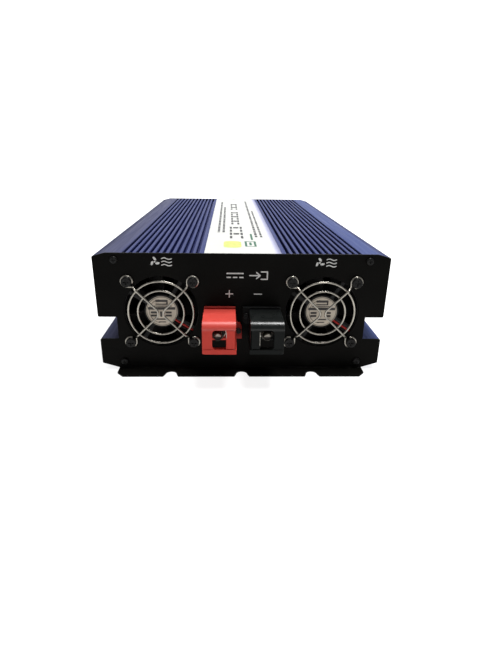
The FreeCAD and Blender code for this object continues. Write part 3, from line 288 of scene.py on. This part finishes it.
LOOKS = {
    "blue_anodised": anodised(),
    "white_film": Surface("label_film", (0.385, 0.39, 0.372), 0.5, specular=0.02)
    .tint(30, 0.02).wear(200, 0.06).grain(500, 0.1, 0.01).material,
    "black_powder_coat": Surface("powder_coat", (0.0036, 0.0034, 0.0029), 0.45, specular=0.03)
    .tint(40, 0.18).wear(160, 0.06).grain(1500, 0.35, 0.03).material,
    "black_screw": Surface("blackened_steel", (0.0055, 0.0053, 0.005), 0.3, metal=0.2, specular=0.15)
    .tint(300, 0.3).wear(500, 0.1).grain(900, 0.2, 0.02).material,
    "zinc_steel": Surface("zinc_plate", (0.5, 0.49, 0.46), 0.34, metal=1.0)
    .tint(200, 0.12).wear(300, 0.1).grain(700, 0.2, 0.02).material,
    "brass": Surface("brass", (0.62, 0.42, 0.16), 0.3, metal=1.0).tint(150, 0.12).wear(300, 0.08).material,
    "white_plastic": Surface("white_nylon", (0.72, 0.70, 0.64), 0.5)
    .tint(100, 0.05).grain(700, 0.2, 0.02).material,
    "red_plastic": Surface("red_plastic", (0.49, 0.046, 0.033), 0.42, specular=0.1)
    .polished_above(47.0, 0.5).tint(70, 0.07).wear(240, 0.07).grain(1100, 0.22, 0.02).material,
    "black_gloss_plastic": Surface("black_moulding", (0.0045, 0.0055, 0.0052), 0.32, specular=0.07)
    .polished_above(47.0, 0.35).tint(70, 0.15).wear(240, 0.07).grain(1100, 0.2, 0.02).material,
    "nickel_steel": Surface("nickel_plate", (0.66, 0.62, 0.54), 0.26, metal=1.0)
    .tint(200, 0.1).wear(350, 0.08).grain(800, 0.15, 0.02).material,
    "copper": copper_turns("bare_copper", (0.62, 0.26, 0.12), "Z", 1.0),
    "circuit_board": solder_mask(),
    "capacitor_can": Surface("capacitor_sleeve", (0.02, 0.022, 0.03), 0.3)
    .tint(60, 0.2).wear(200, 0.06).material,
    "fuse_plastic": Surface("fuse_plastic", (0.45, 0.16, 0.03), 0.3).tint(90, 0.1).wear(200, 0.06).material,
    "ferrite": Surface("ferrite", (0.035, 0.035, 0.037), 0.55)
    .tint(200, 0.3).grain(500, 0.4, 0.05).material,
    "winding": copper_turns("winding_tape", (0.55, 0.38, 0.08), "Z", 1.2),
    "chip_plastic": Surface("chip_epoxy", (0.02, 0.02, 0.02), 0.55)
    .tint(200, 0.2).grain(900, 0.3, 0.02).material,
    "grey_plastic": Surface("outlet_plastic", (0.30, 0.31, 0.32), 0.42)
    .tint(80, 0.05).wear(260, 0.06).grain(1200, 0.2, 0.02).material,
    "lead_jacket": Surface("lead_black", (0.015, 0.015, 0.015), 0.4)
    .tint(200, 0.2).wear(400, 0.08).material,
    "black_plastic": Surface("fan_plastic", (0.0065, 0.006, 0.0058), 0.5, specular=0.2)
    .tint(90, 0.15).wear(300, 0.08).grain(900, 0.2, 0.02).material,
    "light_lens": Surface("green_lens", (0.05, 0.42, 0.10), 0.15, specular=0.6)
    .tint(400, 0.2).wear(300, 0.05).coat(0.6, 0.08).material,
    "fan_sticker": Surface("foil_sticker", (0.46, 0.40, 0.32), 0.42, metal=0.2, specular=0.3)
    .tint(160, 0.08).wear(260, 0.08).grain(600, 0.15, 0.02).material,
    "chrome_wire": Surface("zinc_wire", (0.33, 0.31, 0.27), 0.3, metal=1.0)
    .tint(260, 0.14).wear(500, 0.1).grain(900, 0.2, 0.02).material,
}
stud_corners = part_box("positive_stud")
BATTERY_TIP = Vector((stud_corners[0].x, stud_corners[0].y, (stud_corners[0].z + stud_corners[1].z) / 2))
RED_LEAD = Surface("lead_red", (0.50, 0.02, 0.015), 0.38).tint(200, 0.12).wear(400, 0.08).material
RED_LENS = (
    Surface("red_lens", (0.50, 0.03, 0.02), 0.15, specular=0.6)
    .tint(400, 0.2).wear(300, 0.05).coat(0.6, 0.08).material
)
# painted shade: the terminal bases are darker red and black than their covers, standing for the shade they
# sit in
SHADED_BASES = {
    "positive": Surface("red_base_painted_shade", (0.20, 0.016, 0.012), 0.5, specular=0.1)
    .tint(70, 0.1).wear(240, 0.07).grain(1100, 0.22, 0.02).material,
    "negative": Surface("black_base_painted_shade", (0.0035, 0.004, 0.0038), 0.5, specular=0.1)
    .tint(70, 0.1).wear(240, 0.07).grain(1100, 0.22, 0.02).material,
}
THREAD = threaded("stud_thread", (0.62, 0.56, 0.46), 1.0)
BATTERY_THREAD_PAINTED_END = threaded("battery_stud_thread", (0.66, 0.58, 0.46), 1.0, BATTERY_TIP)
# painted shade: the stud nuts are nearly black, standing for the shade inside the terminal covers
SHADED_NUT = (
    Surface("nut_painted_shade", (0.05, 0.045, 0.04), 0.35, metal=0.9)
    .tint(200, 0.2).wear(300, 0.1).grain(900, 0.2, 0.02).material
)
SILK = Surface("silk_print", (0.50, 0.50, 0.48), 0.6).tint(700, 0.16).grain(1500, 0.3, 0.02).material
FILM_DARK = (
    Surface("film_print_dark", (0.035, 0.035, 0.038), 0.6, specular=0.1)
    .tint(500, 0.25).grain(900, 0.2, 0.01).material
)
FILM_LIME = (
    Surface("film_print_lime", (0.35, 0.41, 0.10), 0.6, specular=0.1)
    .tint(300, 0.15).grain(900, 0.2, 0.01).material
)
FILM_GREEN = (
    Surface("film_print_green", (0.02, 0.075, 0.045), 0.6, specular=0.1)
    .tint(300, 0.15).grain(900, 0.2, 0.01).material
)
SIDE_FADE = label_side_fade()
# painted highlight for the free edge of each terminal flap
FLAP_HIGHLIGHT = (
    Surface("flap_painted_highlight", (0.42, 0.40, 0.35), 0.35, specular=0.3)
    .tint(700, 0.2).wear(500, 0.08).material
)
STICKER_INK = (
    Surface("sticker_ink", (0.018, 0.013, 0.011), 0.5)
    .tint(500, 0.25).grain(900, 0.2, 0.01).material
)

slots = {}
for entry in frame["record"]["materials"]:
    for node in entry.get("nodes", []):
        slots[node] = entry["slot"]
for name, node in frame["nodes"].items():
    imported = node.data.materials[0].name.split(".")[0] if node.data.materials else "black_plastic"
    slots.setdefault(name, imported)
    node.data.materials.clear()
    node.data.materials.append(LOOKS[slots[name]])


# ---------------------------------------------------------------- CAD pieces with worked edges

def body_of(node):
    return frame["nodes"][node]["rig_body"]


def refine(node, width=0.3, segments=2, angle=32, finish=None, sharp_within=0.0):
    """A copy of a CAD node, welded, with a small round on each outer edge.

    Edges nearer than sharp_within mm to the middle plane stay sharp.
    """
    mesh = frame["nodes"][node].data.copy()
    for layer in ("custom_normal", "sharp_edge", "sharp_face"):
        if layer in mesh.attributes:
            mesh.attributes.remove(mesh.attributes[layer])
    work = bmesh.new()
    work.from_mesh(mesh)
    bmesh.ops.remove_doubles(work, verts=work.verts, dist=2e-6)
    sharp_surface = BVHTree.FromBMesh(work)
    weight = work.edges.layers.float.new("bevel_weight_edge")
    for edge in work.edges:
        outer = edge.calc_face_angle_signed(0) > math.radians(angle)
        free = all(abs(vertex.co.x) > sharp_within * MM for vertex in edge.verts)
        edge[weight] = float(outer and free)
    work.to_mesh(mesh)
    work.free()
    piece = bpy.data.objects.new(node + "_skin", mesh)
    bpy.context.scene.collection.objects.link(piece)
    if width:
        bevel = piece.modifiers.new("edges", "BEVEL")
        bevel.width = width * MM
        bevel.segments = segments
        bevel.limit_method = "WEIGHT"
        bevel.use_clamp_overlap = False
        bevel.loop_slide = False
        rounded = bpy.data.meshes.new_from_object(piece.evaluated_get(bpy.context.evaluated_depsgraph_get()))
        piece.modifiers.clear()
        piece.data = rounded
        for vertex in rounded.vertices:
            nearest, outward, _, distance = sharp_surface.find_nearest(vertex.co)
            if distance > width * MM * 0.7 or (vertex.co - nearest).dot(outward) > 0:
                vertex.co = nearest
    mesh = piece.data
    mesh.polygons.foreach_set("use_smooth", [True] * len(mesh.polygons))
    mesh.set_sharp_from_angle(angle=math.radians(50))
    if finish:
        mesh.materials.clear()
        mesh.materials.append(finish)
    weighted = piece.modifiers.new("normals", "WEIGHTED_NORMAL")
    weighted.keep_sharp = True
    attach(piece, body_of(node))
    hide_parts(node)
    return piece


FLAP_HINGE = 5.8
REFINED = {
    "top_shell": 0.25, "bottom_shell": 0.25, "front_panel": 0.3, "rear_panel": 0.3,
    "positive_cover_flap": 0.15, "negative_cover_flap": 0.15,
    "ground_nut": 0.3, "fan_nuts": 0.25,
    "fan_left_frame": 0.3, "fan_right_frame": 0.3,
    "ac_outlet_left": 0.4, "ac_outlet_right": 0.4,
    "power_switch_body": 0.35, "power_switch_rocker": 0.4,
}
for node, width in REFINED.items():
    refine(node, width)
for pole in POLES:
    refine(pole + "_terminal_cover", 0.35, sharp_within=FLAP_HINGE)
    refine(pole + "_terminal_base", 0.3, finish=SHADED_BASES[pole])


def two_tone(node, order, finish):
    """Gives a second finish to the separate piece of a node that holds the first face in the order."""
    piece = refine(node, 0)
    mesh = piece.data
    mesh.materials.append(finish)
    work = bmesh.new()
    work.from_mesh(mesh)
    seen = set()
    stack = [min(work.faces, key=lambda face: order(face.calc_center_median()))]
    while stack:
        face = stack.pop()
        if face in seen:
            continue
        seen.add(face)
        face.material_index = 1
        for edge in face.edges:
            stack.extend(other for other in edge.link_faces if other not in seen)
    work.to_mesh(mesh)
    work.free()


for side in SIDES:
    two_tone("fan_%s_leads" % side, lambda centre: centre.z, RED_LEAD)
two_tone("status_lights", lambda centre: centre.x, RED_LENS)
for pole in POLES:
    refine(pole + "_stud", 0, finish=BATTERY_THREAD_PAINTED_END)
    refine(pole + "_stud_nut", 0.3, finish=SHADED_NUT)
refine("ground_stud", 0, finish=THREAD)


# ---------------------------------------------------------------- printed marks

def turned(cx, cy, x, y, turn):
    """A point turned about a centre."""
    return (cx + x * math.cos(turn) - y * math.sin(turn), cy + x * math.sin(turn) + y * math.cos(turn))


def disc(cx, cy, radius, steps=48):
    return [turned(cx, cy, radius, 0, math.tau * i / steps) for i in range(steps)]


def bar(cx, cy, width, height, radius=0.15, turn=0.0):
    """Rounded bar, as one outline."""
    outline = []
    for i, (sx, sy) in enumerate(((1, 1), (-1, 1), (-1, -1), (1, -1))):
        for k in range(5):
            angle = math.radians(90 * i + 22.5 * k)
            x = sx * (width / 2 - radius) + radius * math.cos(angle)
            y = sy * (height / 2 - radius) + radius * math.sin(angle)
            outline.append(turned(cx, cy, x, y, turn))
    return outline


def ring(cx, cy, outer, inner, start=0.0, sweep=math.tau, steps=40):
    """Arc band as a list of quads."""
    quads = []
    for i in range(steps):
        a, b = start + sweep * i / steps, start + sweep * (i + 1) / steps
        corners = ((inner, a), (outer, a), (outer, b), (inner, b))
        quads.append([turned(cx, cy, radius, 0, angle) for radius, angle in corners])
    return quads


def stroke(points, width):
    """Polyline as overlapping rounded bars."""
    shapes = []
    for (ax, ay), (bx, by) in zip(points, points[1:]):
        length = math.hypot(bx - ax, by - ay) + width
        turn = math.atan2(by - ay, bx - ax)
        shapes.append(bar((ax + bx) / 2, (ay + by) / 2, length, width, width / 2 * 0.98, turn))
    return shapes


def petal(cx, cy, long, short, turn, steps=20):
    outline = []
    for i in range(steps):
        angle = math.tau * i / steps
        outline.append(turned(cx, cy, long * math.cos(angle), short * math.sin(angle), turn))
    return outline


def fan_mark(cx, cy, radius):
    """Three leaning blades round a hub."""
    shapes = [disc(cx, cy, radius * 0.17)]
    for i in range(3):
        turn = math.tau * (i / 3 + 0.25)
        x, y = cx + 0.58 * radius * math.cos(turn), cy + 0.58 * radius * math.sin(turn)
        shapes.append(petal(x, y, radius * 0.42, radius * 0.22, turn + 0.7))
    return shapes


def wavy(cx, cy, length, height, width, cycles=1.0, steps=18):
    points = []
    for i in range(steps + 1):
        t = i / steps
        points.append((cx - length / 2 + length * t, cy + height / 2 * math.sin(math.tau * cycles * t)))
    return stroke(points, width)


def printed(name, shapes, place, finish, body="inverter", lift=0.03):
    """Thin ink film. place gives the point at a, b in mm, raised off its surface by lift mm."""
    mesh = bpy.data.meshes.new(name)
    work = bmesh.new()
    layer = 0
    for shape in shapes:
        layer = (layer + 1) % 5
        loop = [place(a, b, lift + 0.002 * layer) for a, b in shape]
        work.faces.new([work.verts.new(point) for point in loop])
    bmesh.ops.triangulate(work, faces=work.faces)
    bmesh.ops.recalc_face_normals(work, faces=work.faces)
    work.to_mesh(mesh)
    work.free()
    mesh.materials.append(finish)
    piece = bpy.data.objects.new(name, mesh)
    bpy.context.scene.collection.objects.link(piece)
    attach(piece, body)
    return piece


def on_front(x, z, lift):
    return Vector((x, FRONT / MM - lift, z)) * MM


def on_rear(x, z, lift):
    return Vector((-x, REAR / MM + lift, z)) * MM


def on_label(x, y, lift):
    return Vector((x, y, TOP / MM - 0.1 + lift)) * MM


def mark_front_panel():
    """Air signs over the fans, the direct current input sign and the poles' signs."""
    shapes = []
    for x in (-61.9, 62.8):
        shapes += fan_mark(x - 4.3, 89.9, 4.0)
        for k in range(3):
            shapes += wavy(x + 4.6, 92.3 - 2.5 * k, 7.4, 1.1, 0.75)
    direct_x, direct_z = -5.8, 78.1
    shapes.append(bar(direct_x, direct_z + 3.1, 13.0, 1.0))
    shapes += [bar(direct_x + 4.8 * k, direct_z, 3.4, 1.0) for k in (-1, 0, 1)]
    arrow_z = 79.6
    shapes += stroke([(5.4, arrow_z), (13.2, arrow_z)], 0.95)
    shapes += stroke([(10.6, arrow_z + 2.4), (13.4, arrow_z), (10.6, arrow_z - 2.4)], 0.95)
    shapes += stroke([(14.2, 82.5), (18.9, 82.5), (18.9, 76.7), (14.2, 76.7)], 0.95)
    plus_x, plus_z = -10.15, 64.9
    shapes += [bar(plus_x, plus_z, 6.0, 0.8), bar(plus_x, plus_z, 0.8, 6.0), bar(12.0, 64.8, 6.2, 0.8)]
    printed("front_marks", shapes, on_front, SILK)


def mark_rear_panel():
    """Alternating current, power, earth and the two lights."""
    shapes = []
    for x in (48.0, -12.0):
        shapes += wavy(x, 90.0, 10.0, 4.0, 0.9, steps=24)
    switch_x, switch_z = -66.0, 77.6
    shapes += ring(switch_x, switch_z, 1.7, 1.15, math.radians(120), math.radians(300))
    shapes.append(bar(switch_x, switch_z + 1.2, 0.6, 2.6))
    earth_x = -82.0
    shapes += stroke([(earth_x, 29.6), (earth_x, 27.4)], 0.7)
    shapes += [bar(earth_x, 27.0 - 1.6 * k, 6.0 - 2.0 * k, 0.7) for k in range(3)]
    shapes += stroke([(-75.3, 88.3), (-73.0, 92.3), (-70.7, 88.3), (-75.3, 88.3)], 0.55)
    shapes += ring(-59.0, 90.2, 2.2, 1.6)
    printed("rear_marks", shapes, on_rear, SILK)


def mark_label():
    """Plain blocks where a label has its name, its small print and its picture."""
    shapes = []
    middle_x, rail = -3.6, 2.2
    for first, count, across in ((-120.0, 4, 12.0), (-42.0, 6, 8.5), (80.0, 4, 8.5)):
        for k in range(count):
            y = first + 17.0 * k
            offset = across / 2 - rail / 2
            shapes += [bar(middle_x + side * offset, y, rail, 12.5, 0.9) for side in (-1, 1)]
            if k % 2:
                shapes.append(bar(middle_x, y, across * 0.45, 8.5, 1.2))
    columns = (
        (-20.0, -96.0, 150.0, 2.3),
        (-15.4, -96.0, 90.0, 2.3),
        (14.0, -120.0, 170.0, 2.3),
        (18.6, -120.0, 60.0, 2.0),
    )
    for x, start, stop, width in columns:
        y, k = start, 0
        while y < stop:
            length = 4.0 + 2.2 * ((k * 5 + int(abs(x))) % 4)
            shapes.append(bar(x, y + length / 2, width, length, 0.5))
            y += length + 1.9
            k += 1
    printed("label_words", shapes, on_label, FILM_DARK)
    printed("label_block_lime", [bar(-7.6, -152.0, 14.5, 27.0, 5.0)], on_label, FILM_LIME)
    green = stroke([(3.6, -160.0), (11.2, -160.0), (11.2, -140.0), (3.6, -140.0), (3.6, -160.0)], 1.8)
    green += [bar(7.4, -150.0, 2.0, 12.0, 0.8), bar(9.6, -118.0, 1.8, 30.0, 0.8)]
    printed("label_block_green", green, on_label, FILM_GREEN)
    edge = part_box("top_label")[1].x / MM
    printed("label_side_strip", [bar(edge + 2.6, 10.1, 5.0, 392.6, 0.1)], on_label, SIDE_FADE, lift=-0.15)


def mark_flap_highlight(pole, sign, low_end, high_end=46.6):
    """Painted highlight: a pale line along the free edge of a flap."""
    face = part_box(pole + "_cover_flap")[0].y / MM

    def on_flap(a, b, lift):
        return Vector((a, face - lift, b)) * MM

    shapes = [bar(sign * 12.15, (low_end + high_end) / 2, 0.32, high_end - low_end, 0.12)]
    printed(pole + "_flap_edge_highlight", shapes, on_flap, FLAP_HIGHLIGHT, pole + "_flap", 0.01)


def mark_sticker(side):
    """Plain blocks on the sticker of a fan's hub."""
    low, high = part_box("fan_%s_label" % side)
    cx, cz = (low.x + high.x) / 2 / MM, (low.z + high.z) / 2 / MM
    face = low.y / MM

    def on_sticker(a, b, lift):
        return Vector((cx + a, face - lift, cz + b)) * MM

    shapes = [bar(0.2, 8.6, 9.6, 1.9, 0.4), bar(0.2, 5.9, 9.6, 0.9, 0.3), bar(4.4, 7.4, 1.1, 4.0, 0.3)]
    shapes += [bar(0.0, 2.4, 21.5, 2.2, 0.3), bar(0.0, 4.3, 16.0, 0.7, 0.2)]
    shapes += [bar(a, b, 5.0, 1.7, 0.4) for a in (-6.2, 5.2) for b in (-1.0, -3.6)]
    shapes += [bar(-0.6, -2.4, 1.6, 4.6, 0.4), bar(-0.2, -6.6, 9.0, 1.2, 0.3), bar(0.0, -9.0, 6.0, 0.9, 0.3)]
    shapes += ring(0, 0, 11.9, 11.5, steps=64) + ring(0, 0, 10.0, 9.6, math.radians(100), math.radians(160))
    printed("fan_%s_print" % side, shapes, on_sticker, STICKER_INK)


mark_front_panel()
mark_rear_panel()
mark_label()
mark_flap_highlight("positive", -1, 42.0)
mark_flap_highlight("negative", 1, 36.0)
for side in SIDES:
    mark_sticker(side)


# ---------------------------------------------------------------- floor, light, camera

def make_floor():
    mesh = bpy.data.meshes.new("studio_floor")
    half = 4.0
    corners = [(-half, -half, 0), (half, -half, 0), (half, half, 0), (-half, half, 0)]
    mesh.from_pydata(corners, [], [(0, 1, 2, 3)])
    floor = bpy.data.objects.new("studio_floor", mesh)
    bpy.context.scene.collection.objects.link(floor)
    mesh.materials.append(Surface("light_table", (0.3, 0.3, 0.3), 0.9, specular=0.05)
    .tint(3, 0.02).grain(200, 0.05, 0.05).glow(0.85).material)


def area_light(name, place, aim, size, power):
    data = bpy.data.lights.new(name, "AREA")
    data.shape = "RECTANGLE"
    data.size, data.size_y = size
    data.energy = power
    light = bpy.data.objects.new(name, data)
    light.location = place
    light.rotation_euler = (Vector(aim) - Vector(place)).to_track_quat("-Z", "Y").to_euler()
    bpy.context.scene.collection.objects.link(light)


def make_world():
    """White room that is dim on the battery side, so that the black panel stays dark."""
    world = bpy.data.worlds.new("studio")
    world.use_nodes = True
    bpy.context.scene.world = world
    tree = world.node_tree
    place = tree.nodes.new("ShaderNodeTexCoord")
    split = tree.nodes.new("ShaderNodeSeparateXYZ")
    reach = tree.nodes.new("ShaderNodeMapRange")
    reach.inputs["From Min"].default_value = -0.35
    reach.inputs["From Max"].default_value = 0.35
    ramp = tree.nodes.new("ShaderNodeValToRGB")
    ramp.color_ramp.elements[0].color = (0.14, 0.14, 0.145, 1)
    ramp.color_ramp.elements[1].color = (1.0, 1.0, 1.0, 1)
    tree.links.new(place.outputs["Generated"], split.inputs["Vector"])
    tree.links.new(split.outputs["Y"], reach.inputs["Value"])
    tree.links.new(reach.outputs["Result"], ramp.inputs["Fac"])
    tree.links.new(ramp.outputs["Color"], tree.nodes["Background"].inputs["Color"])
    tree.nodes["Background"].inputs["Strength"].default_value = 1.2


def make_camera():
    data = bpy.data.cameras.new("camera")
    data.sensor_width = 36.0
    data.lens = 24.65
    data.clip_start = 0.01
    data.clip_end = 50.0
    camera = bpy.data.objects.new("camera", data)
    bpy.context.scene.collection.objects.link(camera)
    pitch, yaw, roll = 0.373, 0.034, 0.015
    ahead = Vector((math.sin(yaw) * math.cos(pitch), math.cos(yaw) * math.cos(pitch), -math.sin(pitch)))
    level = Vector((math.cos(yaw), -math.sin(yaw), 0))
    rise = level.cross(ahead)
    right = math.cos(roll) * level + math.sin(roll) * rise
    up = -math.sin(roll) * level + math.cos(roll) * rise
    turn = Matrix((right, up, -ahead)).transposed().to_4x4()
    eye = (-0.0111, -0.515, 0.1688)
    camera.matrix_world = Matrix.Translation(eye) @ turn
    bpy.context.scene.camera = camera


make_floor()
make_world()
area_light("key", (0.30, -0.05, 1.5), (0, -0.05, 0), (0.7, 0.45), 36)
area_light("backdrop", (0.0, 2.6, 2.2), (0, 3.0, 0), (3.0, 3.0), 110)
make_camera()
bpy.context.scene.view_settings.view_transform = "Standard"
bpy.context.scene.view_settings.look = "None"
